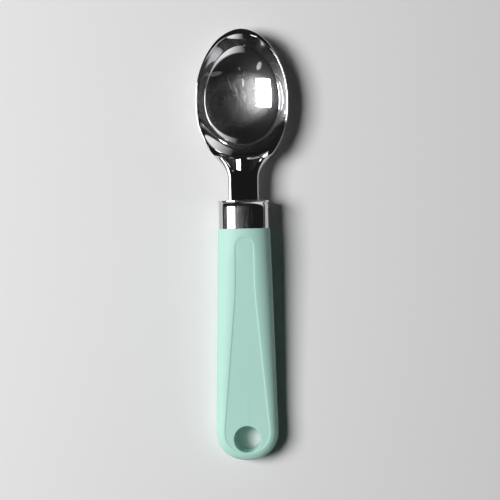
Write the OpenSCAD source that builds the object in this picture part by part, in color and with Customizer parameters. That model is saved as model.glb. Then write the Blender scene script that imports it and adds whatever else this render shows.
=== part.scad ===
// Scoop spoon lying on its back. The bowl, neck and tang are one casting. The tang goes into a moulded
// grip, an oval ferrule covers the joint, and a spring pin under the ferrule locks the tang.
// Z is up from the table, Y runs from the hang hole to the bowl's tip, X is across.

/* [Overall] */
// Length from the grip's tail to the bowl's tip
total_len = 203; // [190:1:220]

/* [Bowl] */
// Half of the bowl's outer width at its widest row
bowl_half_w = 21.9; // [19:0.1:25]
// Distance from the widest row to the tip
bowl_up = 33.8; // [30:0.1:38]
// Distance from the widest row to where the outer outline would close, inside the neck
bowl_down = 32.9; // [31:0.1:36]
// Distance from the widest row to the rim's edge beside the neck
rim_down = 26.8; // [24:0.1:28]
// Height of the rim above the table
rim_h = 13.6; // [12:0.1:16]
// Thickness of the bowl's floor
floor_wall = 1.6; // [1.2:0.1:2.5]
// Radius of the rim's outer edge
lip_r = 0.5; // [0.3:0.05:0.8]
// Width of the sloped band inside the rim
lip_run = 0.4; // [0.3:0.05:0.8]
// Height that the sloped band climbs
lip_rise = 0.5; // [0.3:0.05:0.8]
// Width of the ground land at the tip
tip_land = 2.3; // [1.5:0.1:3]
// Distance that the tip's ground slope reaches back from the tip
tip_cut_len = 4.5; // [3:0.1:6]
// Height that the rim loses at the very tip
tip_drop = 2.4; // [1.5:0.1:3]

/* [Neck and tang] */
// Half of the neck's width
neck_half_w = 7.1; // [6:0.1:8]
// Thickness of the neck
neck_t = 7; // [6:0.1:8]
// Radius of the neck's upper edges
neck_edge_r = 3; // [2:0.1:3.2]
// Length over which the radius of the neck's edges falls to that of the rim's edge
edge_fade_len = 18.5; // [14:0.5:24]
// Depth of the neck's top below the rim
neck_step = 0.3; // [0.1:0.05:0.6]
// Length over which the neck flares out to the shoulders
flare_len = 10.8; // [8:0.1:12]
// Depth of the two pockets between the rib and the flanges
pocket_depth = 0.75; // [0.4:0.05:1.2]
// Half of the flat crown of the rib between the pockets
rib_half_w = 1.6; // [0.8:0.1:2]
// Width of the slope from the rib's crown to a pocket's floor
rib_slope_w = 3; // [2:0.1:3.6]
// Width of the slope where a pocket meets the rim
pocket_run = 1.1; // [0.6:0.1:1.8]
// Length of the pockets from the rim's edge towards the ferrule
pocket_len = 6.8; // [5:0.1:8]
// Length of the bare neck between the ferrule and the rim's edge
neck_len = 20.2; // [17:0.1:24]
// Width of the tang
tang_w = 10; // [8:0.1:11]
// Thickness of the tang
tang_t = 5; // [4:0.1:5.6]
// Depth of the tang behind the ferrule
tang_len = 30; // [20:1:40]

/* [Ferrule] */
// Length of the ferrule
ferrule_len = 13.2; // [12:0.1:16]
// Thickness of the ferrule's metal
ferrule_wall = 0.8; // [0.5:0.1:1.2]
// Height of the bead round the ferrule's front edge
bead_h = 0.25; // [0.1:0.05:0.4]
// Length of the bead
bead_len = 1; // [0.6:0.1:1.5]

/* [Grip] */
// Half of the grip's width at the ferrule
grip_front_half_w = 12.1; // [11:0.1:13]
// Half of the grip's width at the tail
grip_tail_half_w = 14.6; // [13:0.1:16]
// Length of the rounded tail
tail_len = 13.9; // [12:0.1:16]
// Half thickness of the grip at the ferrule
grip_front_h = 9.9; // [9.2:0.1:10.4]
// Half thickness of the grip round the hang hole
grip_tail_h = 6.3; // [5.8:0.1:7]
// Length over which the crowned front turns into the flat-faced body
crown_len = 33; // [20:1:50]
// Half of the length over which the taper levels out ahead of the hang hole
level_run = 8; // [4:1:12]
// Depth of the step round each panel
panel_step = 0.2; // [0.1:0.05:0.3]
// Half width of the panel's arch
arch_half_w = 4.2; // [3.5:0.1:5]
// Half width of the panel beside the hang hole
panel_tail_half_w = 10.3; // [9:0.1:11]
// Distance from the grip's front face to the arch
arch_gap = 4.2; // [3:0.1:8]
// Width of the margin round the panel at the tail
tail_margin = 4.2; // [3:0.1:5]
// Width of the sloped step round each panel
step_run = 0.5; // [0.3:0.05:0.8]

/* [Hang hole] */
// Radius of the hang hole
hole_r = 6.15; // [5:0.05:7]
// Radius of the rounding at the hole's mouths
mouth_r = 0.5; // [0.3:0.1:1]
// Distance from the hole's centre to the end of the grip
hole_to_end = 10.3; // [10:0.1:12]

/* [Pin and fits] */
// Radius of the spring pin
pin_r = 1.5; // [1:0.1:2]
// Thickness of the spring pin's rolled wall
pin_wall = 0.4; // [0.3:0.05:0.5]
// Width of the slit along the spring pin
pin_slit = 0.5; // [0.3:0.1:0.8]
// Clearance of the neck and the tang in their slots
slot_gap = 0.12; // [0.05:0.01:0.3]
// Clearance between the ferrule and the grip's spigot
spigot_gap = 0.06; // [0.02:0.01:0.15]
// Clearance of the spring pin in its holes
pin_gap = 0.02; // [0.01:0.01:0.05]
// Amount that the grip stands proud of the ferrule
grip_proud = 0.25; // [0.1:0.05:0.5]

/* [Hidden] */

overrun = total_len / 200;
chrome = [0.72, 0.73, 0.75];
steel = [0.55, 0.56, 0.58];
mint = [0.61, 0.83, 0.76];

// Powers of the superellipses: 2 is an ellipse, more is squarer
outline_up_share = 1.9;
outline_down_share = 2;
rim_up_share = 2;
rim_down_share = 2.45;
cavity_share = 2;
shell_share = 1.9;
neck_share = 3;
tail_share = 2.15;
// Powers of the grip's section: of its crest, and of its sides at the ferrule and on the body
crest_share = 2;
front_square_share = 3.6;
body_square_share = 2.5;

// Places along Y
tip_y = total_len / 2;
tail_y = -total_len / 2;
widest_y = tip_y - bowl_up;
rim_end_y = widest_y - rim_down;
ferrule_front_y = rim_end_y - neck_len;
grip_front_y = ferrule_front_y - ferrule_len;
spigot_front_y = ferrule_front_y - ferrule_wall;
tang_end_y = grip_front_y - tang_len;
pin_y = grip_front_y + ferrule_len / 2;
tail_start_y = tail_y + tail_len;
hole_y = tail_y + hole_to_end;
arch_y = grip_front_y - arch_gap;
panel_end_y = tail_y + tail_margin;
tip_cut_y = tip_y - tip_cut_len;

// Bowl: the rim's edge and the cavity's wall are two curves inside the outline
rim_half_w = bowl_half_w - lip_r;
rim_up = bowl_up - tip_land;
cavity_half_w = rim_half_w - lip_run;
cavity_up = rim_up - lip_run;
cavity_down = rim_down - lip_run;
cavity_top = rim_h - lip_rise;
cavity_depth = cavity_top - floor_wall;
tip_slope = tip_drop / tip_cut_len;

function soft(t) = t <= 0 ? 0 : t >= 1 ? 1 : t * t * (3 - 2 * t);
function mix(a, b, t) = a + (b - a) * t;
// Reach of a point in a superellipse: 0 at its centre, 1 on its outline
function reach(x, y, a, b, p) = pow(pow(abs(x) / a, p) + pow(abs(y) / b, p), 1 / p);
// Half width of a superellipse at y
function half_w(y, a, b, p) = abs(y) >= b ? 0 : a * pow(1 - pow(abs(y) / b, p), 1 / p);
// Depth share of a superellipse profile at reach r
function dome(r, p) = r >= 1 ? 0 : pow(1 - pow(r, p), 1 / p);
// Lower of two heights, blended over a span
function soft_min(a, b, span) = min(a, b) - span * pow(max(0, 1 - abs(a - b) / span), 2) / 4;

function bowl_half(y) = half_w(y - widest_y, bowl_half_w, y > widest_y ? bowl_up : bowl_down,
    y > widest_y ? outline_up_share : outline_down_share);
function bowl_reach(x, y) = reach(x, y - widest_y, bowl_half_w, y > widest_y ? bowl_up : bowl_down,
    y > widest_y ? outline_up_share : outline_down_share);
function rim_half(y) = half_w(y - widest_y, rim_half_w, y > widest_y ? rim_up : rim_down,
    y > widest_y ? rim_up_share : rim_down_share);
function rim_reach(x, y) = reach(x, y - widest_y, rim_half_w, y > widest_y ? rim_up : rim_down,
    y > widest_y ? rim_up_share : rim_down_share);
function cavity_half(y) = half_w(y - widest_y, cavity_half_w, y > widest_y ? cavity_up : cavity_down,
    y > widest_y ? rim_up_share : rim_down_share);
function cavity_reach(x, y) = reach(x, y - widest_y, cavity_half_w, y > widest_y ? cavity_up : cavity_down,
    y > widest_y ? rim_up_share : rim_down_share);

// Neck: it flares from its own width to the shoulders, where it meets the bowl's outline
shoulder_y = rim_end_y + lip_r;
shoulder_half_w = bowl_half(shoulder_y);
flare_y = shoulder_y - flare_len;
neck_top = rim_h - neck_step;
flange_w = neck_edge_r;
pocket_end_y = rim_end_y - pocket_len;
edge_soft = flange_w / 2;

function flare(y) = pow(max(0, (y - flare_y) / flare_len), 2);
function head_half(y) = y > shoulder_y ? bowl_half(y) : mix(neck_half_w, shoulder_half_w, flare(y));
// Radius of the outer edge: large on the neck, small along the bowl's lip
function edge_r(y) = mix(neck_edge_r, lip_r, soft((y - flare_y) / edge_fade_len));
function crest(y) = mix(neck_top, rim_h, soft((y - rim_end_y) / pocket_run)) - tip_slope * max(0, y - tip_cut_y);
function flange(y) = mix(flange_w, lip_r * 2, soft((y - flare_y) / flare_len));
function pocket(x, y) = pocket_depth
    * soft((head_half(y) - abs(x) - flange(y)) / edge_soft)
    * soft((rim_reach(x, y) - 1) * rim_down / pocket_run)
    * soft((abs(x) - rib_half_w) / rib_slope_w)
    * soft((y - pocket_end_y) / edge_soft);
function edge_drop(x, y) = let (r = edge_r(y), in = abs(x) - head_half(y) + r)
    in <= 0 ? 0 : r - sqrt(max(0, r * r - in * in));
function head_top(x, y) = let (c = cavity_reach(x, y), r = rim_reach(x, y))
    c <= 1 ? crest(y) - lip_rise - cavity_depth * dome(c, cavity_share)
    : r < 1 ? crest(y) - lip_rise * (1 - (c - 1) / (c / r - 1))
    : crest(y) - edge_drop(x, y) - pocket(x, y);
function head_bottom(x, y) = let (base = crest(y) - edge_r(y), across = abs(x) / head_half(y),
    shell = base * (1 - dome(bowl_reach(x, y), shell_share)),
    keep = 1 - soft((y - shoulder_y) / flare_len),
    bar = base - (neck_t - edge_r(y)) * keep * dome(across, neck_share),
    blend = neck_edge_r * max(least_share, dome(across, neck_share)))
    y > shoulder_y + flare_len ? shell : soft_min(shell, bar, blend);

// Numbers of points round a ring of the head: across the cavity, the lip, the land and the underside
in_n = 8;
lip_n = 1;
land_n = 8;
under_n = 9;
bowl_n = 32;
neck_n = 20;
nose_n = 5;

// Shares of the half width that the points follow where the cavity has closed
inner_share = 0.25;
outer_share = 0.31;
least_share = 0.01;
nose_share = 0.9995;

function in_x(y) = max(cavity_half(y), head_half(y) * inner_share);
function out_x(y) = max(rim_half(y), head_half(y) * outer_share, in_x(y) + head_half(y) * least_share);
function land_x(y, t) = mix(out_x(y), head_half(y), sin(90 * t));
function across_x(y) = [
    for (i = [0 : in_n - 1]) in_x(y) * sin(90 * i / in_n),
    for (i = [0 : lip_n - 1]) mix(in_x(y), out_x(y), i / lip_n),
    for (i = [0 : land_n]) land_x(y, i / land_n)];
function mirrored(v) = [for (i = [len(v) - 1 : -1 : 1]) -v[i]];
function head_ring(y) = let (right = across_x(y), w = head_half(y), all = concat(mirrored(right), right))
    concat([for (x = all) [x, y, head_top(x, y)]],
        [for (i = [1 : 2 * under_n - 1]) let (x = w * cos(90 * i / under_n)) [x, y, head_bottom(x, y)]]);

head_ys = concat(
    [for (i = [0 : neck_n - 1]) mix(spigot_front_y, rim_end_y, sin(90 * i / neck_n))],
    [rim_end_y],
    [for (i = [0 : bowl_n]) widest_y + mix(-cavity_down, cavity_up, (1 - cos(180 * i / bowl_n)) / 2)],
    [for (i = [0 : nose_n]) widest_y + mix(rim_up, bowl_up * nose_share, sin(90 * i / nose_n))]);

// Faces of a skin through rings of n points each, closed at both ends
function skin_faces(rings, n) = concat(
    [for (j = [0 : rings - 2]) for (i = [0 : n - 1]) [j * n + i, (j + 1) * n + (i + 1) % n, j * n + (i + 1) % n]],
    [for (j = [0 : rings - 2]) for (i = [0 : n - 1]) [j * n + i, (j + 1) * n + i, (j + 1) * n + (i + 1) % n]],
    [[for (i = [0 : n - 1]) i]],
    [[for (i = [n - 1 : -1 : 0]) (rings - 1) * n + i]]);
module skin(rings) {
    n = len(rings[0]);
    polyhedron(points = [for (r = rings) each r], faces = skin_faces(len(rings), n), convexity = 8);
}

// Tang: a flat bar with bevelled corners, centred in the neck's end
axis_z = neck_top - neck_t / 2;
tang_bevel_share = 0.12;
tang_bevel = tang_t * tang_bevel_share;

module scoop_head() {
    color(chrome) difference() {
        union() {
            skin([for (y = head_ys) head_ring(y)]);
            translate([0, tang_end_y, axis_z]) rotate([-90, 0, 0])
                linear_extrude(spigot_front_y + overrun - tang_end_y) flat_bar(tang_w / 2, tang_t / 2, tang_bevel);
        }
        pin_hole();
    }
}

module flat_bar(a, b, bevel) {
    polygon([[a - bevel, b], [-a + bevel, b], [-a, b - bevel], [-a, -b + bevel],
        [-a + bevel, -b], [a - bevel, -b], [a, -b + bevel], [a, b - bevel]]);
}

module pin_hole() {
    translate([0, pin_y, -overrun]) cylinder(r = pin_r + pin_gap, h = rim_h * 2, $fn = 48);
}

// Grip: it widens to the tail, and its section turns from a crowned oval at the ferrule into a body
// with a flat face. A shallow arched panel is sunk into its front and its back.
grip_len = grip_front_y - tail_start_y;
level_y = hole_y + hole_r + mouth_r + level_run;
taper_len = grip_front_y - level_y;
widen_share = 0.85;
arch_keep_share = 0.3;
ease_share = 0.12;

function ease(t, e) = t < -e ? 0 : t > e ? t : (t + e) * (t + e) / (4 * e);
function along(y) = min(1, (grip_front_y - y) / grip_len);
function grip_w(y) = mix(grip_front_half_w, grip_tail_half_w, pow(along(y), widen_share));
// Half height of the crest: an even taper that levels out ahead of the hang hole
function grip_crest(y) = mix(grip_tail_h, grip_front_h, ease((y - level_y) / taper_len, level_run / taper_len));
// The grip's back lies on the table over its whole length
function grip_z(y) = grip_crest(y);
// The panel keeps the arch's width for a while, then widens to the tail
function panel_side(y) = mix(arch_half_w, panel_tail_half_w,
    ease((along(y) - arch_keep_share) / (1 - arch_keep_share), ease_share));
// Half width of the panel at y, with a round arch and a round tail end
function panel_w(y) = y > arch_y || y < panel_end_y ? 0
    : y > arch_y - arch_half_w ? half_w(y - arch_y + arch_half_w, arch_half_w, arch_half_w, 2)
    : y < tail_start_y ? half_w(y - tail_start_y, panel_tail_half_w, tail_len - tail_margin, tail_share)
    : panel_side(y);
function grip_half(y) = y < tail_start_y ? half_w(y - tail_start_y, grip_tail_half_w, tail_len, tail_share) : grip_w(y);
function grip_reach(x, y) = y < tail_start_y
    ? reach(x, y - tail_start_y, grip_tail_half_w, tail_len, tail_share) : abs(x) / grip_w(y);
// Height share of the section at v: 0 at the edge of its flat, 1 at its side
function section(v, power) = v >= 1 ? 0 : pow(1 - pow(max(0, v), crest_share), 1 / power);
function body_like(y) = soft((grip_front_y - y) / crown_len);
function grip_h(x, y) = let (flat = body_like(y) * panel_side(y) / grip_w(y),
    power = mix(front_square_share, body_square_share, body_like(y)))
    grip_crest(y) * section((grip_reach(x, y) - flat) / (1 - flat), power);

flat_n = 4;
side_n = 10;
front_n = 6;
body_n = 22;
tail_n = 12;
crown_share = 0.1;

function grip_quarter(y) = let (p = panel_w(y), half = grip_half(y),
    a = max(p, half * crown_share),
    b = min(a + step_run, mix(a, half, inner_share)),
    sunk = p > 0 ? panel_step : 0)
    concat([for (i = [0 : flat_n]) let (x = a * i / flat_n) [x, grip_h(x, y) - sunk]],
        [for (i = [0 : side_n]) let (x = mix(b, half, sin(90 * i / side_n))) [x, grip_h(x, y)]]);
function grip_ring(y) = let (q = grip_quarter(y), z = grip_z(y), n = len(q))
    concat([for (i = [n - 1 : -1 : 1]) [-q[i][0], y, z + q[i][1]]], [for (i = [0 : n - 1]) [q[i][0], y, z + q[i][1]]],
        [for (i = [n - 2 : -1 : 1]) [q[i][0], y, z - q[i][1]]], [for (i = [0 : n - 2]) [-q[i][0], y, z - q[i][1]]]);

grip_ys = concat(
    [for (i = [0 : tail_n - 1]) mix(tail_y + tail_len * (1 - nose_share), panel_end_y - step_run / 2, pow(i / tail_n, 2))],
    [for (i = [0 : tail_n - 1]) mix(panel_end_y, tail_start_y, 1 - cos(90 * i / tail_n))],
    [for (i = [0 : body_n - 1]) mix(tail_start_y, arch_y - arch_half_w, i / body_n)],
    [for (i = [0 : front_n]) arch_y - arch_half_w + arch_half_w * sin(90 * i / front_n)],
    [arch_y + step_run, grip_front_y]);

// Ovals of the ferrule and the spigot follow the grip's front face
front_z = grip_z(grip_front_y);
ferrule_half_w = grip_front_half_w - grip_proud;
ferrule_half_h = grip_front_h - grip_proud;
spigot_inset = ferrule_wall + spigot_gap;
oval_n = 96;

function oval(a, b) = [for (i = [0 : oval_n - 1]) let (c = cos(360 * i / oval_n), s = sin(360 * i / oval_n))
    [a * c, b * sign(s) * section(abs(c), front_square_share)]];
// A solid along Y between two places, from an outline across X and Z
module along_y(y0, y1, z = 0) {
    translate([0, y1, z]) rotate([90, 0, 0]) linear_extrude(y1 - y0) children();
}

module handle_grip() {
    color(mint) difference() {
        union() {
            skin([for (y = grip_ys) grip_ring(y)]);
            along_y(grip_front_y - overrun, spigot_front_y, front_z)
                polygon(oval(ferrule_half_w - spigot_inset, ferrule_half_h - spigot_inset));
        }
        along_y(tang_end_y - slot_gap, spigot_front_y + overrun, axis_z)
            flat_bar(tang_w / 2 + slot_gap, tang_t / 2 + slot_gap, tang_bevel);
        pin_hole();
        hang_hole();
    }
}

// Through hole with rounded mouths on both panels
module hang_hole() {
    z = grip_z(hole_y);
    h = grip_crest(hole_y) - panel_step;
    translate([0, hole_y, z]) {
        cylinder(r = hole_r, h = 4 * h, center = true, $fn = 96);
        for (side = [0, 1]) mirror([0, 0, side]) rotate_extrude($fn = 96) difference() {
            translate([hole_r - overrun, h - mouth_r]) square([mouth_r + overrun, mouth_r + overrun]);
            translate([hole_r + mouth_r, h - mouth_r]) circle(r = mouth_r, $fn = 48);
        }
    }
}

// Ferrule: a drawn cup with a slot for the neck in its front and a bead round the front edge
neck_outline = [for (p = head_ring(spigot_front_y)) [p[0], p[2] - axis_z]];
slot_scale = (neck_half_w + slot_gap) / neck_half_w;
slot_scale_z = (neck_t / 2 + slot_gap) / (neck_t / 2);

module ferrule() {
    color(chrome) difference() {
        union() {
            along_y(grip_front_y, ferrule_front_y, front_z) polygon(oval(ferrule_half_w, ferrule_half_h));
            along_y(ferrule_front_y - bead_len, ferrule_front_y, front_z)
                polygon(oval(ferrule_half_w + bead_h, ferrule_half_h + bead_h));
        }
        along_y(grip_front_y - overrun, spigot_front_y, front_z)
            polygon(oval(ferrule_half_w - ferrule_wall, ferrule_half_h - ferrule_wall));
        along_y(spigot_front_y - overrun, ferrule_front_y + overrun, axis_z)
            polygon([for (p = neck_outline) [p[0] * slot_scale, p[1] * slot_scale_z]]);
    }
}

// Spring pin: a rolled tube with a slit along it
pin_len = 2 * (ferrule_half_h - spigot_inset) - pin_r;

module spring_pin() {
    color(steel) translate([0, pin_y, front_z - pin_len / 2]) difference() {
        cylinder(r = pin_r, h = pin_len, $fn = 48);
        translate([0, 0, -overrun]) cylinder(r = pin_r - pin_wall, h = pin_len + 2 * overrun, $fn = 48);
        translate([0, -pin_slit / 2, -overrun]) cube([pin_r + overrun, pin_slit, pin_len + 2 * overrun]);
    }
}

scoop_head();
ferrule();
handle_grip();
spring_pin();
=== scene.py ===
import math
import bmesh
import bpy
import numpy as np
from mathutils import Euler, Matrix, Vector


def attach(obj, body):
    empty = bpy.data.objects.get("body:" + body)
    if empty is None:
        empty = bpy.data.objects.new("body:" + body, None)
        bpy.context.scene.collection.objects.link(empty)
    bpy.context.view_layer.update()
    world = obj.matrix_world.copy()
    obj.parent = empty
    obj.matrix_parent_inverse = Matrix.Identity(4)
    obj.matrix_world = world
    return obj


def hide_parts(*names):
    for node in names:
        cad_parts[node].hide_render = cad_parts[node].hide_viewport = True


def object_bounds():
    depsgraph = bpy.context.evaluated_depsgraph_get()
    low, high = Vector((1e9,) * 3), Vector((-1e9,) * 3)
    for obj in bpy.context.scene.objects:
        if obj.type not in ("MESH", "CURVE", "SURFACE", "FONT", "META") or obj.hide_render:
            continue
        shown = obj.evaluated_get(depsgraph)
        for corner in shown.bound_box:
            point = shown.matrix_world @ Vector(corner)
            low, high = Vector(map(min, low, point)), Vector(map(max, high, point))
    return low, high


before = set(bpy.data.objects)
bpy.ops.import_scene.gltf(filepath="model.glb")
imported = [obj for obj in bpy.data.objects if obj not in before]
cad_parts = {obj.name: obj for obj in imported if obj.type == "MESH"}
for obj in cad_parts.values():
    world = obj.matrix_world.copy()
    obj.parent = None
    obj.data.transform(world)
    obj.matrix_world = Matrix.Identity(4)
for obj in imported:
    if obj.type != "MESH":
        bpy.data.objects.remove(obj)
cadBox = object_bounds()
mm = 0.001
print("frame loaded", [round(float(v), 4) for corner in cadBox for v in corner])


# Gives a socket a link from a wrapped socket, or a plain value
def feed(socket, value):
    if isinstance(value, Sock):
        value.tree.links.new(value.out, socket)
    else:
        socket.default_value = value


# Shader maths: a socket wrapped so that Python operators add Math nodes
class Sock:
    def __init__(self, tree, out):
        self.tree, self.out = tree, out

    def math(self, op, other):
        new = self.tree.nodes.new("ShaderNodeMath")
        new.operation = op
        feed(new.inputs[0], self)
        feed(new.inputs[1], other)
        return Sock(self.tree, new.outputs[0])

    def __add__(self, o): return self.math("ADD", o)
    def __radd__(self, o): return self.math("ADD", o)
    def __sub__(self, o): return self.math("SUBTRACT", o)
    def __rsub__(self, o): return self.math("MULTIPLY", -1.0).math("ADD", o)
    def __mul__(self, o): return self.math("MULTIPLY", o)
    def __rmul__(self, o): return self.math("MULTIPLY", o)
    def __truediv__(self, o): return self.math("DIVIDE", o)
    def __rtruediv__(self, o): return self.math("MULTIPLY", 0.0).math("ADD", o).math("DIVIDE", self)

    def clamp(self):
        kept = self.math("ADD", 0.0)
        kept.out.node.use_clamp = True
        return kept

    # Any other node: its type, its settings, then the values or links of its sockets
    def node(self, kind, settings=None, inputs=None, out=0):
        new = self.tree.nodes.new(kind)
        for key, value in (settings or {}).items():
            setattr(new, key, value)
        for key, value in (inputs or {}).items():
            feed(new.inputs[key], value)
        return Sock(self.tree, new.outputs[out])

    def xyz(self):
        split = self.node("ShaderNodeSeparateXYZ", {}, {"Vector": self}).out.node
        return [Sock(self.tree, out) for out in split.outputs]


# An empty material, its object coordinates and the socket for its shader
def newMaterial(name):
    mat = bpy.data.materials.new(name)
    mat.use_nodes = True
    tree = mat.node_tree
    tree.nodes.clear()
    surface = tree.nodes.new("ShaderNodeOutputMaterial").inputs["Surface"]
    return mat, Sock(tree, tree.nodes.new("ShaderNodeTexCoord").outputs["Object"]), surface


# Closed skin over a grid of points: rows follow the profile, columns go round. Each quad joins a point to
# its neighbours. With poles the first and last row shrink to a point each, with caps they get a face each.
def gridMesh(name, grid, sharp, wrapRows=False, poles=False, caps=False):
    rows, cols = grid.shape[:2]
    index = np.arange(rows * cols).reshape(rows, cols)
    if poles:
        index[[0, -1]] = index[[0, -1], :1]
    used, index = np.unique(index, return_inverse=True)
    index = index.reshape(rows, cols)
    low = index if wrapRows else index[:-1]
    high = np.roll(index, -1, axis=0) if wrapRows else index[1:]
    quads = np.stack([low, np.roll(low, -1, 1), np.roll(high, -1, 1), high], -1).reshape(-1, 4)
    faces = [tuple(dict.fromkeys(q)) for q in quads.tolist()]  # at a pole a corner comes twice
    if caps:
        faces += [tuple(index[0, ::-1].tolist()), tuple(index[-1].tolist())]
    mesh = bpy.data.meshes.new(name)
    mesh.from_pydata(grid.reshape(-1, 3)[used].tolist(), [], faces)
    obj = bpy.data.objects.new(name, mesh)
    bpy.context.collection.objects.link(obj)
    tidyMesh(mesh, sharp)
    return obj


joining = {"doubles": 2e-7, "thinEdge": 1e-7}  # metres


# Merges doubles, turns faces outwards and marks edges sharper than an angle in degrees
def tidyMesh(mesh, sharp):
    bm = bmesh.new()
    bm.from_mesh(mesh)
    bmesh.ops.remove_doubles(bm, verts=bm.verts, dist=joining["doubles"])
    bmesh.ops.dissolve_degenerate(bm, dist=joining["thinEdge"], edges=bm.edges)
    bmesh.ops.recalc_face_normals(bm, faces=bm.faces)
    bm.to_mesh(mesh)
    bm.free()
    mesh.shade_smooth()
    mesh.set_sharp_from_angle(angle=math.radians(sharp))


# How many triangles a piece's faces make
def triangles(obj):
    return sum(len(f.vertices) - 2 for f in obj.data.polygons)


# Smooth step: three times the square less twice the cube, from 0 to 1
def soft(t):
    t = np.clip(t, 0, 1)
    return t * t * (3 - 2 * t)


# Straight blend from a to b
def mix(a, b, t):
    return a + (b - a) * t


# Superellipse with semi axes a and b and power p: its half width at v
def halfAt(v, a, b, p):
    return a * np.maximum(0, 1 - np.minimum(1, np.abs(v) / b) ** p) ** (1 / p)


# How far out a point lies on it: 0 in the middle, 1 on the outline
def reachOf(x, v, a, b, p):
    return ((np.abs(x) / a) ** p + (np.abs(v) / b) ** p) ** (1 / p)


# Height of a dome over that reach: one less its power, rooted
def dome(r, p):
    return np.maximum(0, 1 - np.minimum(1, r) ** p) ** (1 / p)


# The head's sizes in millimetres, as the casting has them. Where there are two powers, the first is for the
# tip's half of the bowl and the second for the neck's.
head = {
    "bowlHalf": 21.9, "bowlUp": 33.8, "bowlDown": 32.9, "rimDown": 26.8, "rimHeight": 13.6,
    "outlinePower": (1.9, 2.0), "rimPower": (2.0, 2.45), "shellPower": 1.9, "underBlend": 3.0,
    "lipRadius": 0.5, "lipBack": 1.1, "cavityGap": 0.5, "cavityEase": 0.45,
    "tipLand": 2.3, "tipCut": 4.5, "tipDrop": 2.4, "tipEase": 0.5,
    "neckHalf": 7.1, "neckThick": 7.0, "neckStep": 0.3, "neckPower": 3.0, "neckLength": 20.2, "flare": 10.8,
    "neckEdge": 1.4, "shoulderEdge": 2.6, "edgeFade": 0.6, "edgeFadeRun": 1.6, "flangeWidth": 2.2,
    "pocketDepth": 0.65, "pocketLength": 7.2, "pocketEase": 1.5, "ribHalf": 0.7, "ribSlope": 2.4,
    "webDepth": 0.4, "webRun": 3.2, "webOverRib": 0.8, "ferruleWall": 0.8,
}
tipY = cadBox[1][1] / mm
widestY = tipY - head["bowlUp"]
rimEndY = widestY - head["rimDown"]
ferruleFrontY = rimEndY - head["neckLength"]
rimHalf = head["bowlHalf"] - head["lipRadius"]
rimUp = head["bowlUp"] - head["tipLand"]
tipSlope = head["tipDrop"] / head["tipCut"]
tipCutY = tipY - head["tipCut"]
shoulderY = rimEndY + head["lipRadius"]
flareY = shoulderY - head["flare"]


# Semi axes and power of the bowl's outline, and then of its lip's middle, at v beyond the widest place
def outline(v):
    up = v > 0
    return head["bowlHalf"], np.where(up, head["bowlUp"], head["bowlDown"]), np.where(up, *head["outlinePower"])


def rimCurve(v):
    up = v > 0
    return rimHalf, np.where(up, rimUp, head["rimDown"]), np.where(up, *head["rimPower"])


# The ground slope at the tip: a straight fall that starts as a parabola
def tipFall(y):
    over, ease = y - tipCutY, head["tipEase"]
    return tipSlope * np.where(over > ease, over, np.where(over < -ease, 0, (over + ease) ** 2 / (4 * ease)))


# The bowl's lining: a profile carried round the bowl. Its slope angle is given at distances from the
# middle, so its height is the running sum of the slope's tangent: a shallow floor, a tight turn and a
# steep wall to the round lip. It goes down behind the lip and comes back under the cavity.
lining = {
    "round": 360, "steps": 120, "lipSteps": 9, "backSteps": 20, "fineSteps": 700, "smooth": 19,
    "at": (0, 3.3, 6.6, 10.0, 13.6, 15.5, 16.8, 17.4, 17.95, 18.5, 19.5, 20.5),
    "tilt": (0, 5.9, 11.6, 18.5, 26, 31, 35.5, 39, 59, 60, 60.5, 60.5), "lipTilt": 62, "lipEnd": -0.35,
    "floorHalf": 17.8, "floorUp": 25.85, "floorDown": 20.4, "floorPower": 2.0, "lowBend": 0.4,
    "behindLip": ((0.18, -0.6), (0.1, -1.4)),  # out from the lip's middle and up from its top
    "thick": 0.6, "edgeThick": 0.5, "edgePower": 6, "backShift": 0.45, "middle": 1e-4,
}
lipInner = rimHalf - head["lipRadius"] * math.sin(math.radians(lining["lipTilt"]))


# Distances and heights of the profile up to the lip, and its slope there in radians
def liningProfile():
    r = np.linspace(0, lipInner, lining["fineSteps"])
    tilt = np.interp(r, lining["at"] + (lipInner,), lining["tilt"] + (lining["lipTilt"],))
    half = lining["smooth"] // 2
    kernel = np.hanning(2 * half + 1)
    padded = np.concatenate([-tilt[half:0:-1], tilt, 2 * tilt[-1] - tilt[-2:-half - 2:-1]])
    tilt = np.convolve(padded, kernel / kernel.sum(), "valid")
    slope = np.tan(np.radians(tilt))
    rise = np.concatenate([[0], np.cumsum((slope[1:] + slope[:-1]) / 2 * np.diff(r))])
    lipDrop = head["lipRadius"] * (1 - math.cos(math.radians(tilt[-1])))
    return r, rise - rise[-1] - lipDrop, math.radians(tilt[-1])


wallR, wallZ, wallTilt = liningProfile()
print("bowl depth", round(-float(wallZ[0]), 2), "mm")


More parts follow.
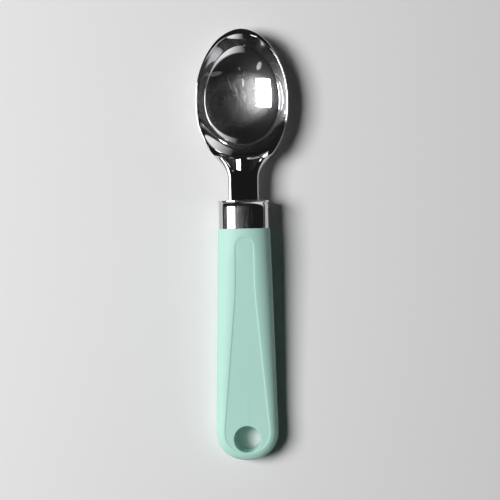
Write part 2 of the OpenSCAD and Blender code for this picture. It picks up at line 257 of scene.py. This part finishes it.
# The profile turned round the bowl: up to the floor's edge each distance is stretched to an oval, and from
# there to the lip it is a blend between that oval and the lip's. Near the neck the blend bends inwards.
def liningGrid():
    length = np.concatenate([[0], np.cumsum(np.hypot(np.diff(wallR), np.diff(wallZ)))])
    even = np.linspace(0, length[-1], lining["steps"])
    lip, (outs, drops) = head["lipRadius"], np.transpose(lining["behindLip"])
    turn = np.linspace(wallTilt, lining["lipEnd"], lining["lipSteps"])[1:]
    back = np.linspace(lipInner, 0, lining["backSteps"])
    under = lining["thick"] + lining["edgeThick"] * (back / rimHalf) ** lining["edgePower"]
    r = np.concatenate([np.interp(even, length, wallR), rimHalf - lip * np.sin(turn), rimHalf + outs, back])
    z = np.concatenate([np.interp(even, length, wallZ), lip * (np.cos(turn) - 1), drops,
                        np.interp(back + lining["backShift"], wallR, wallZ) - under])
    psi = np.linspace(0, 2 * np.pi, lining["round"], endpoint=False)
    cosPsi, sinPsi = np.cos(psi), np.sin(psi)
    up = sinPsi > 0

    def stretch(half, semi, power):  # radius of a superellipse over its half width
        return ((np.abs(cosPsi) / half) ** power + (np.abs(sinPsi) / semi) ** power) ** (-1 / power) / half
    rimStretch = stretch(rimHalf, np.where(up, rimUp, head["rimDown"]), np.where(up, *head["rimPower"]))
    floorSemi = np.where(up, lining["floorUp"], lining["floorDown"])
    floorStretch = stretch(lining["floorHalf"], floorSemi, lining["floorPower"])
    r = np.maximum(r, lining["middle"])[:, None]
    turnR = lining["floorHalf"]
    edge = rimHalf * rimStretch - (rimHalf - lipInner)
    share = np.maximum(0, (r - turnR) / (lipInner - turnR)) ** (1 + lining["lowBend"] * soft(-sinPsi))
    wall = mix(turnR * floorStretch, edge, share)
    radius = np.where(r < turnR, r * floorStretch, np.where(r < lipInner, wall, rimHalf * rimStretch + r - rimHalf))
    x, y = radius * cosPsi, widestY + radius * sinPsi
    return np.stack([x, y, head["rimHeight"] + z[:, None] - tipFall(y)], -1) * mm


shoulderHalf = float(halfAt(np.array(shoulderY - widestY), *outline(np.array(shoulderY - widestY))))


# Half width: the neck's, plus a square of the way up the flare, until the bowl's outline takes over
def headHalf(y):
    neck = mix(head["neckHalf"], shoulderHalf, np.maximum(0, (y - flareY) / head["flare"]) ** 2)
    return np.where(y > shoulderY, halfAt(y - widestY, *outline(y - widestY)), neck)


# Radius of the upper edge: it grows up the flare as the width does, then fades to the lip's
def edgeRadius(y):
    flange = head["neckEdge"] + head["shoulderEdge"] * np.maximum(0, (y - flareY) / head["flare"]) ** 2
    return mix(flange, head["lipRadius"], soft((y - shoulderY + head["edgeFade"]) / head["edgeFadeRun"]))


# Height of the top: the neck's steps up to the rim's, and falls at the tip
def crest(y):
    rise = soft((y - rimEndY) / head["lipBack"])
    return mix(head["rimHeight"] - head["neckStep"], head["rimHeight"], rise) - tipFall(y)


# Top of the body: the crest less the rounded edge, less the two pockets beside the rib and the web's slope
# in them, and inside the rim less the cavity, which stays below the lining
def bodyTop(x, y):
    v = y - widestY
    half, r = headHalf(y), edgeRadius(y)
    fromEdge, fromRib, fromNeck = half - np.abs(x), np.abs(x) - head["ribHalf"], y - rimEndY + head["pocketLength"]
    into = r - fromEdge
    edge = np.where(into > 0, r - np.sqrt(np.maximum(0, r * r - into * into)), 0)
    rim = reachOf(x, v, *rimCurve(v))
    pocket = (head["pocketDepth"] * soft((fromEdge - head["flangeWidth"]) / head["pocketEase"])
              * soft(fromRib / head["ribSlope"]) * soft(fromNeck / head["pocketEase"]))
    web = (head["webDepth"] * np.maximum(0, fromNeck / head["pocketLength"])
           * soft(fromEdge / (2 * head["flangeWidth"]))
           * soft((fromRib - head["ribSlope"] + head["webOverRib"]) / head["webRun"]))
    behindLip = soft((rim - 1) * head["rimDown"] / head["lipBack"])
    carved = np.where(v < 0, (pocket + web) * behindLip, 0)
    depth = np.interp(rim * rimHalf, wallR, -wallZ) + head["cavityGap"]
    sunk = np.where(rim < 1, depth * soft((1 - rim) * rimHalf / head["cavityEase"]), 0)
    return crest(y) - edge - carved - sunk


# Underside: the bowl's dome and the neck's bar, whichever is lower, with a parabola where they meet
def bodyBottom(x, y):
    v = y - widestY
    half, r = headHalf(y), edgeRadius(y)
    base = crest(y) - r
    across = dome(np.abs(x) / half, head["neckPower"])
    shell = base * (1 - dome(reachOf(x, v, *outline(v)), head["shellPower"]))
    keep = 1 - soft((y - shoulderY) / head["flare"])
    bar = base - (head["neckThick"] - r) * keep * across
    span = head["underBlend"] * across + 1e-6  # never quite nothing, because it divides
    blend = np.minimum(shell, bar) - span * np.maximum(0, 1 - np.abs(shell - bar) / span) ** 2 / 4
    return np.where(y > shoulderY + head["flare"], shell, blend)


bodyGrid = {
    "neckRows": 80, "bowlRows": 130, "tipRows": 20, "rowGap": 0.02, "tipStart": 0.02, "tipEnd": 0.9998,
    "inner": 30, "outer": 24, "under": 30, "innerLeast": 0.06, "innerMost": 0.985,
}


# The body as rings across Y: each ring runs over the top from left to right and back underneath
def bodyRings():
    g = bodyGrid
    turn = np.linspace(0, np.pi, g["bowlRows"])
    tipTurn = np.linspace(g["tipStart"], 1, g["tipRows"]) * np.pi / 2
    ys = np.concatenate([
        np.linspace(ferruleFrontY - head["ferruleWall"], rimEndY - g["rowGap"], g["neckRows"]),
        widestY + mix(-head["rimDown"], rimUp, (1 - np.cos(turn)) / 2),
        widestY + mix(rimUp + g["rowGap"], head["bowlUp"] * g["tipEnd"], np.sin(tipTurn))])
    half = headHalf(ys)
    inner = np.maximum(halfAt(ys - widestY, *rimCurve(ys - widestY)), g["innerLeast"] * half)
    inner = np.minimum(inner, half * g["innerMost"])[:, None]
    t = np.linspace(0, 1, g["inner"] + 1)
    u = np.sin(np.linspace(0, 1, g["outer"] + 1)[1:] * np.pi / 2)
    right = np.concatenate([inner * t, mix(inner, half[:, None], u)], 1)
    top = np.concatenate([-right[:, :0:-1], right], 1)
    under = half[:, None] * np.cos(np.linspace(0, np.pi, 2 * g["under"] + 1)[1:-1])
    yTop, yUnder = np.broadcast_to(ys[:, None], top.shape), np.broadcast_to(ys[:, None], under.shape)
    over = np.stack([top, yTop, bodyTop(top, yTop)], -1)
    below = np.stack([under, yUnder, bodyBottom(under, yUnder)], -1)
    return np.concatenate([over, below], 1) * mm


# Joins objects into the first, which takes the name
def joinInto(name, parts):
    bpy.ops.object.select_all(action="DESELECT")
    for p in parts:
        p.select_set(True)
    bpy.context.view_layer.objects.active = parts[0]
    bpy.ops.object.join()
    parts[0].name = parts[0].data.name = name
    return parts[0]


bodyObj = gridMesh("headBody", bodyRings(), sharp=40, caps=True)
liningObj = gridMesh("headLining", liningGrid(), sharp=40, poles=True)
scoopHead = joinInto("scoopHead", [bodyObj, liningObj])
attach(scoopHead, "root")
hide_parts("scoop_head")
print("head made", triangles(scoopHead), "triangles")

# The grip's sizes in millimetres. A pair of powers is for the ferrule's end and for the body, and widen,
# archKeep and ease belong to the way along it.
grip = {
    "frontHalf": 12.1, "tailHalf": 14.6, "tailLength": 13.9, "frontHigh": 9.9, "tailHigh": 6.3, "levelRun": 8.0,
    "crownLength": 15.0, "squareLength": 33.0, "crestPower": (2.0, 1.85), "squarePower": (3.0, 3.1),
    "step": 0.15, "stepRun": 0.5, "archHalf": 4.2, "panelTailHalf": 10.3, "archGap": 4.2, "tailMargin": 4.2,
    "tailPower": 2.15, "widen": 0.85, "archKeep": 0.3, "ease": 0.12, "ferruleLength": 13.2, "proud": 0.25,
    "holeRadius": 6.15, "mouthRadius": 0.5, "boreDraft": 0.35, "holeToEnd": 10.3,
}
gripFrontY = ferruleFrontY - grip["ferruleLength"]
tailY = cadBox[0][1] / mm
tailStartY = tailY + grip["tailLength"]
gripLength = gripFrontY - tailStartY
holeY = tailY + grip["holeToEnd"]
archY = gripFrontY - grip["archGap"]
levelY = holeY + grip["holeRadius"] + grip["mouthRadius"] + grip["levelRun"]
taperLength = gripFrontY - levelY
gripFrontZ = grip["frontHigh"]


def along(y):  # 0 at the ferrule, 1 where the round tail starts
    return np.clip((gripFrontY - y) / gripLength, 0, 1)


# Half width: grows towards the tail as a power of the way along
def gripWidth(y):
    return mix(grip["frontHalf"], grip["tailHalf"], along(y) ** grip["widen"])


# Nothing, then a straight rise, with a parabola between
def easeRise(t, e):
    return np.where(t < -e, 0, np.where(t > e, t, (t + e) ** 2 / (4 * e)))


# Half width of the sunk panel: the arch's, then wider in a straight line
def panelSide(y):
    t = (along(y) - grip["archKeep"]) / (1 - grip["archKeep"])
    return mix(grip["archHalf"], grip["panelTailHalf"], easeRise(t, grip["ease"]))


# Half height along the middle: level at the tail, then higher in a straight line
def gripCrest(y):
    rise = easeRise((y - levelY) / taperLength, grip["levelRun"] / taperLength)
    return mix(grip["tailHigh"], grip["frontHigh"], rise)


# Half height of the section: a crowned oval at the ferrule that turns into a body with a flat face.
# Across it the height follows one less a power of the way from the flat to the side, rooted.
def gripHeight(x, y):
    bodyLike = soft((gripFrontY - y) / grip["crownLength"])
    squareLike = soft((gripFrontY - y) / grip["squareLength"])
    flat = bodyLike * panelSide(y) / gripWidth(y)
    tail = reachOf(x, y - tailStartY, grip["tailHalf"], grip["tailLength"], grip["tailPower"])
    reach = np.where(y < tailStartY, tail, np.abs(x) / gripWidth(y))
    v = np.clip((reach - flat) / (1 - flat), 0, 1)
    power, root = mix(*grip["crestPower"], bodyLike), mix(*grip["squarePower"], squareLike)
    return gripCrest(y) * (1 - v ** power) ** (1 / root)


# Turns round a superellipse section, or its upper half, so that the steps along its outline are even
def evenTurns(half, high, power, count, full=True, fineSteps=4001):
    t = np.linspace(0, np.pi / 2, fineSteps)
    x, z = half * np.cos(t), high * np.sin(t) ** (2 / power)
    length = np.concatenate([[0], np.cumsum(np.hypot(np.diff(x), np.diff(z)))])
    quarter = np.interp(np.linspace(0, length[-1], count // 4 + 1), length, t)
    upper = np.concatenate([quarter[:-1], np.pi - quarter[:0:-1]])
    return np.concatenate([upper, upper + np.pi]) if full else upper


# Cosine and sine of a turn, each to the power that makes a superellipse of the round
def squarish(turn, powerX, powerZ):
    c, s = np.cos(turn), np.sin(turn)
    return np.sign(c) * np.abs(c) ** powerX, np.sign(s) * np.abs(s) ** powerZ


gripGrid = {
    "side": 150, "tail": 150, "front": 40, "bore": 4, "mouth": 10, "panelRows": 12, "stepRows": 7, "band": 44,
    "stepMost": 0.3,  # of the way from the panel to the outline
}


# Two matching closed loops: the grip's outline and the panel's border.
# They run from the front's right corner down the right side, round the tail, up the left side and back
# along the front edge, so that a line between them crosses the grip's rounded edge squarely.
def gripLoops():
    g = gripGrid
    archEndY = archY - grip["archHalf"]
    ySide = mix(gripFrontY, tailStartY, np.linspace(0, 1, g["side"], endpoint=False))
    borderSideY = mix(archEndY, tailStartY, np.linspace(0, 1, g["side"], endpoint=False))
    outSide = np.stack([gripWidth(ySide), ySide], -1)
    inSide = np.stack([panelSide(borderSideY), borderSideY], -1)
    power = 2 / grip["tailPower"]
    cx, sy = squarish(np.linspace(0, np.pi, g["tail"], endpoint=False), power, power)
    outTail = np.stack([grip["tailHalf"] * cx, tailStartY - grip["tailLength"] * sy], -1)
    inTail = np.stack([grip["panelTailHalf"] * cx, tailStartY - (grip["tailLength"] - grip["tailMargin"]) * sy], -1)
    outLeft = np.concatenate([[[-grip["tailHalf"], tailStartY]], outSide[:0:-1] * [-1, 1]])
    inLeft = np.concatenate([[[-grip["panelTailHalf"], tailStartY]], inSide[:0:-1] * [-1, 1]])
    turns = evenTurns(grip["frontHalf"], grip["frontHigh"], grip["squarePower"][0], 4 * g["front"], full=False)
    sweep = np.pi - turns
    outFront = np.stack([grip["frontHalf"] * np.cos(sweep), np.full(len(sweep), gripFrontY)], -1)
    inFront = np.stack([grip["archHalf"] * np.cos(sweep), archEndY + grip["archHalf"] * np.sin(sweep)], -1)
    out = np.concatenate([outSide, outTail, outLeft, outFront])
    border = np.concatenate([inSide, inTail, inLeft, inFront])
    return out, border


# The grip as rows round the loops: half the bore, rounded mouth, sunk panel, step and rounded edge, then
# the same below as a mirror image. Each height is the section's, less the panel's step.
def gripRows():
    g = gripGrid
    out, border = gripLoops()
    middle = np.array([0, holeY])
    fromHole = border - middle
    ray = fromHole / np.linalg.norm(fromHole, axis=1, keepdims=True)
    radius, mouth, step = grip["holeRadius"], grip["mouthRadius"], grip["step"]
    rows = []

    def addRow(xy, drop):
        rows.append((xy, gripHeight(xy[:, 0], xy[:, 1]) - drop))
    for t in np.linspace(0, 1, g["bore"], endpoint=False):  # the bore narrows a little towards its middle
        xy = middle + ray * (radius - grip["boreDraft"] * (1 - t))
        rows.append((xy, (gripHeight(xy[:, 0], xy[:, 1]) - step - mouth) * t))
    for t in np.linspace(0, np.pi / 2, g["mouth"]):  # quarter round from the bore's wall up to the panel
        addRow(middle + ray * (radius + mouth * (1 - math.cos(t))), step + mouth * (1 - math.sin(t)))
    mouthEnd = rows[-1][0]
    for t in np.linspace(0, 1, g["panelRows"] + 1)[1:]:
        addRow(mix(mouthEnd, border, t), step)
    gap = out - border
    runShare = np.minimum(g["stepMost"], grip["stepRun"] / np.linalg.norm(gap, axis=1, keepdims=True))
    for t in np.linspace(0, 1, g["stepRows"])[1:]:
        addRow(border + gap * runShare * t, step * (1 - soft(t)))
    for t in np.sin(np.linspace(0, 1, g["band"])[1:] * np.pi / 2):
        addRow(border + gap * mix(runShare, 1, t), 0)
    upper = np.stack([np.concatenate([xy, h[:, None]], 1) for xy, h in rows])
    grid = np.concatenate([upper, upper[::-1] * [1, 1, -1]])
    grid[..., 2] += gripCrest(grid[..., 1])
    return grid * mm


handle = gridMesh("handleGrip", gripRows(), sharp=50, wrapRows=True)
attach(handle, "root")
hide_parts("handle_grip")
print("grip made", triangles(handle), "triangles")

# The ferrule's sizes in millimetres
ferruleSizes = {
    "wall": 0.8, "beadHeight": 0.25, "beadLength": 1.0, "edgeRound": 0.3, "slotGap": 0.12, "slotPower": 3.4,
    "backEdge": ((0.12, 0.0), (0.03, 0.03), (0.0, 0.12)), "sideFrom": 0.4,
    "round": 320, "sideRows": 6, "beadRows": 6, "roundRows": 7,
}


# The ferrule: a profile of insets from its oval, carried round the oval from the back edge over the bead to
# the front, then in to the neck's slot, through the wall and back along the inside
def ferruleRows():
    f = ferruleSizes
    half, high = grip["frontHalf"] - grip["proud"], grip["frontHigh"] - grip["proud"]
    back, front, r, bead = gripFrontY, ferruleFrontY, f["edgeRound"], f["beadHeight"]
    power = grip["squarePower"][0]
    turn = evenTurns(half, high, power, f["round"])
    cx, sz = squarish(turn, 1, 2 / power)
    sx, sh = squarish(turn, 2 / f["slotPower"], 2 / f["slotPower"])

    def ovalRow(inset, y):
        return np.stack([(half - inset) * cx, np.full(f["round"], y), gripFrontZ + (high - inset) * sz], -1)

    def slotRow(y):
        slotHalf, slotHigh = head["neckHalf"] + f["slotGap"], head["neckThick"] / 2 + f["slotGap"]
        slotZ = head["rimHeight"] - head["neckStep"] - head["neckThick"] / 2
        return np.stack([slotHalf * sx, np.full(f["round"], y), slotZ + slotHigh * sh], -1)
    beadY, inside = front - f["beadLength"], front - f["wall"]
    profile = [(f["wall"], back)] + [(inset, back + y) for inset, y in f["backEdge"]]
    profile += [(0.0, y) for y in np.linspace(back + f["sideFrom"], beadY - bead, f["sideRows"])]
    profile += [(-bead * s, beadY - bead * (1 - s)) for s in soft(np.linspace(0, 1, f["beadRows"]))]
    profile += [(-bead + r * (1 - math.cos(t)), front - r + r * math.sin(t))
                for t in np.linspace(0, np.pi / 2, f["roundRows"])]
    rows = [ovalRow(*p) for p in profile] + [slotRow(front), slotRow(inside), ovalRow(f["wall"], inside)]
    return np.stack(rows) * mm


ferrule = gridMesh("ferruleCup", ferruleRows(), sharp=50, wrapRows=True)
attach(ferrule, "root")
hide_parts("ferrule")
print("ferrule made", triangles(ferrule), "triangles")

# Chrome: a mirror coat with a share of finely brushed metal, whose scratches run along the scoop.
# Scales are waves to a metre and depths are in metres.
chromes = {
    "headChrome": {"tint": (0.68, 0.68, 0.69, 1), "mirrorRough": 0.03, "brushedRough": 0.34, "share": 0.26},
    "ferruleChrome": {"tint": (0.68, 0.68, 0.69, 1), "mirrorRough": 0.04, "brushedRough": 0.24, "share": 0.05},
    "pinSteel": {"tint": (0.5, 0.5, 0.52, 1), "mirrorRough": 0.2, "brushedRough": 0.4, "share": 0.5},
}
brushing = {
    "streak": (9000.0, 90.0, 1500.0), "streakDetail": 2.0, "streakDepth": 0.00007,
    "cloudScale": 160.0, "cloudDetail": 4.0, "cloudShare": 0.6, "evenShare": 0.7,
}
# In the bowl the brushing ends below the lip and is mostly in one oval, with a few worn patches.
# Each oval has its middle X and Y, half length and half width in millimetres, and turn in degrees.
bowlWear = {
    "below": 0.0008, "fade": 0.001,  # metres below the rim's top
    "main": (-3.0, 68.0, 19.0, 14.0, 20), "around": 0.2,
    "patches": [  # with their strength at the end
        (-13.0, 80.9, 4.6, 1.1, 14, 0.5), (8.4, 84.6, 1.2, 2.2, -20, 0.45), (-1.0, 83.6, 0.5, 1.1, 25, 0.4),
        (0.6, 77.0, 0.45, 2.3, 4, 0.5), (-5.6, 76.5, 0.25, 3.4, 20, 0.35),
    ],
}


# A turned oval on the bowl: 1 inside, fading to 0 at its edge
def ovalMask(x, y, px, py, a, b, turn):
    c, s = math.cos(math.radians(turn)), math.sin(math.radians(turn))
    u = (x * c + y * s - (px * c + py * s) * mm) / (a * mm)
    v = (y * c - x * s - (py * c - px * s) * mm) / (b * mm)
    return ((1.0 - (u * u + v * v)) * 2.0).clamp()


def chromeMaterial(name, bowl=False):
    look, b = chromes[name], brushing
    mat, pos, surface = newMaterial(name)
    metal = {"Base Color": look["tint"], "Metallic": 1.0}
    stretched = pos.node("ShaderNodeVectorMath", {"operation": "MULTIPLY"}, {0: pos, 1: b["streak"]})
    streaks = pos.node("ShaderNodeTexNoise", {}, {"Vector": stretched, "Scale": 1.0, "Detail": b["streakDetail"]})
    bump = pos.node("ShaderNodeBump", {}, {"Height": streaks, "Strength": 1.0, "Distance": b["streakDepth"]})
    mirror = pos.node("ShaderNodeBsdfPrincipled", {}, {**metal, "Roughness": look["mirrorRough"]})
    brushed = pos.node("ShaderNodeBsdfPrincipled", {}, {**metal, "Roughness": look["brushedRough"], "Normal": bump})
    cloud = pos.node("ShaderNodeTexNoise", {},
                     {"Vector": pos, "Scale": b["cloudScale"], "Detail": b["cloudDetail"]})
    share = cloud * b["cloudShare"] * look["share"] + b["evenShare"] * look["share"]
    if bowl:
        x, y, height = pos.xyz()
        worn = ((head["rimHeight"] * mm - bowlWear["below"]) - height) / bowlWear["fade"]
        main = ovalMask(x, y, *bowlWear["main"])
        share = share * worn.clamp() * (main * (1 - bowlWear["around"]) + bowlWear["around"])
        for *place, strength in bowlWear["patches"]:
            share = share + ovalMask(x, y, *place) * cloud * (2 * strength)
    feed(surface, pos.node("ShaderNodeMixShader", {}, {0: share.clamp(), 1: mirror, 2: brushed}))
    return mat


# Mint moulding: satin, with a faint cloud in its colour and a fine grain
mint = {
    "shades": ((0.435, 0.72, 0.63, 1), (0.46, 0.75, 0.66, 1)), "cloudScale": 35.0, "cloudDetail": 3.0,
    "rough": 0.57, "grainRough": 0.06, "grainScale": 2600.0, "grainDetail": 2.0, "grainBump": 0.12,
    "grainDepth": 0.0001, "ior": 1.58,
}


def mintMaterial():
    mat, pos, surface = newMaterial("mintPlastic")
    cloud = pos.node("ShaderNodeTexNoise", {},
                     {"Vector": pos, "Scale": mint["cloudScale"], "Detail": mint["cloudDetail"]})
    grain = pos.node("ShaderNodeTexNoise", {},
                     {"Vector": pos, "Scale": mint["grainScale"], "Detail": mint["grainDetail"]})
    shade = pos.node("ShaderNodeMix", {"data_type": "RGBA"},
                     {0: cloud, 6: mint["shades"][0], 7: mint["shades"][1]}, out=2)
    bump = pos.node("ShaderNodeBump", {},
                    {"Height": grain, "Strength": mint["grainBump"], "Distance": mint["grainDepth"]})
    feed(surface, pos.node("ShaderNodeBsdfPrincipled", {}, {
        "Base Color": shade, "Roughness": grain * mint["grainRough"] + mint["rough"], "IOR": mint["ior"],
        "Normal": bump}))
    return mat


scoopHead.data.materials.append(chromeMaterial("headChrome", bowl=True))
ferrule.data.materials.append(chromeMaterial("ferruleChrome"))
handle.data.materials.append(mintMaterial())
steel = chromeMaterial("pinSteel")
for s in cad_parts["spring_pin"].material_slots:
    s.material = steel
print("materials made")

# A plain pale floor, in metres. Away from the scoop the camera sees it turn evenly into the backdrop.
ground = {
    "reach": 6.0, "shade": (0.78, 0.78, 0.78, 1), "rough": 0.55,
    "backdrop": 0.66, "fadeStart": 0.18, "fadeRun": 0.5,
}
far = ground["reach"]
floorMesh = bpy.data.meshes.new("floor")
floorMesh.from_pydata([(-far, -far, 0), (far, -far, 0), (far, far, 0), (-far, far, 0)], [], [(0, 1, 2, 3)])
floor = bpy.data.objects.new("floor", floorMesh)
bpy.context.collection.objects.link(floor)
floorMat, floorPos, floorSurface = newMaterial("paleFloor")
pale = floorPos.node("ShaderNodeBsdfPrincipled", {}, {
    "Base Color": ground["shade"], "Roughness": ground["rough"], "Specular IOR Level": 0.0})
backdropGlow = floorPos.node("ShaderNodeEmission", {}, {"Color": (ground["backdrop"],) * 3 + (1,)})
distance = floorPos.node("ShaderNodeVectorMath", {"operation": "LENGTH"}, {0: floorPos}, out=1)
seenByCamera = floorPos.node("ShaderNodeLightPath", out="Is Camera Ray")
faded = ((distance - ground["fadeStart"]) / ground["fadeRun"]).clamp() * seenByCamera
feed(floorSurface, floorPos.node("ShaderNodeMixShader", {}, {0: faded, 1: pale, 2: backdropGlow}))
floorMesh.materials.append(floorMat)

# The studio round the scoop, as mirrors see it: a dim ceiling and a pale low wall from the middle to the right.
# The wall is brighter towards both ends of the scoop, and taller there, most of all towards the handle.
# Its foot, top and left end are parts of the direction's unit vector, and each edge says how sharp that end is.
studio = {
    "ambient": 0.005, "ceiling": 0.013, "wall": 1.1, "foot": 0.15, "footEdge": 30.0,
    "top": 0.24, "topAtEnds": 0.42, "topAtHandle": 0.6, "topEdge": 14.0,
    "middle": 0.35, "ends": 2.0, "left": 0.15, "leftAtTip": 0.3, "leftEdge": 1.7,
}
world = bpy.data.worlds.new("studio")
bpy.context.scene.world = world
world.use_nodes = True
skyward = Sock(world.node_tree, world.node_tree.nodes.new("ShaderNodeTexCoord").outputs["Generated"])
toX, toY, toZ = skyward.xyz()
isCamera = skyward.node("ShaderNodeLightPath", out="Is Camera Ray")
isGlossy = skyward.node("ShaderNodeLightPath", out="Is Glossy Ray")
top = toY * toY * studio["topAtEnds"] + (toY * -1.0).clamp() * studio["topAtHandle"] + studio["top"]
low = ((toZ - studio["foot"]) * studio["footEdge"]).clamp() * ((top - toZ) * studio["topEdge"]).clamp()
sides = ((toY * toY * studio["ends"] + studio["middle"]).clamp()
         * ((toX + studio["left"] - toY.clamp() * studio["leftAtTip"]) * studio["leftEdge"]).clamp())
seen = low * sides * studio["wall"] + studio["ceiling"]
onScoop = isGlossy * seen + (1.0 - isGlossy) * studio["ambient"]
background = world.node_tree.nodes["Background"]
feed(background.inputs["Color"], (1, 1, 1, 1))
feed(background.inputs["Strength"], isCamera * ground["backdrop"] + (1.0 - isCamera) * onScoop)

# One softbox that faces the scoop, from the left and above, in metres, degrees and watts.
# Its azimuth is the turn from straight left towards the tip.
softbox = {"size": (0.58, 0.7), "distance": 1.4, "elevation": 51.5, "azimuth": 5.0, "power": 22.5}
lamp = bpy.data.lights.new("keySoftbox", "AREA")
lamp.shape = "RECTANGLE"
lamp.size, lamp.size_y = softbox["size"]
lamp.energy = softbox["power"]
lampObj = bpy.data.objects.new("keySoftbox", lamp)
a, e = math.radians(softbox["azimuth"]), math.radians(softbox["elevation"])
toLamp = Vector((-math.cos(e) * math.cos(a), math.cos(e) * math.sin(a), math.sin(e)))
lampObj.location = toLamp * softbox["distance"]
lampObj.rotation_euler = lampObj.location.to_track_quat("Z", "Y").to_euler()
bpy.context.collection.objects.link(lampObj)

# The camera looks straight down, turned by the lean in degrees. A pixel is a length on the plane at sharpHeight,
# and middle and objectMiddle are the picture's middle and the scoop's in pixels.
view = {
    "height": 0.68, "pixel": 0.47 * mm, "sharpHeight": 0.01, "frame": 500, "sensor": 36.0,
    "middle": (250.0, 250.0), "objectMiddle": (244.3, 244.8), "lean": 0.97,
}
camera = bpy.data.cameras.new("camera")
camObj = bpy.data.objects.new("camera", camera)
bpy.context.collection.objects.link(camObj)
lean = math.radians(view["lean"])
dx, dy = ((m - o) * view["pixel"] for m, o in zip(view["middle"], view["objectMiddle"]))
right, downward = Vector((math.cos(lean), -math.sin(lean), 0)), Vector((-math.sin(lean), -math.cos(lean), 0))
camObj.location = right * dx + downward * dy + Vector((0, 0, view["height"]))
camObj.rotation_euler = Euler((0, 0, -lean))
camera.sensor_width = view["sensor"]
camera.lens = view["sensor"] * (view["height"] - view["sharpHeight"]) / (view["frame"] * view["pixel"])
bpy.context.scene.camera = camObj
bpy.context.scene.view_settings.view_transform = "Standard"
print("stage made")
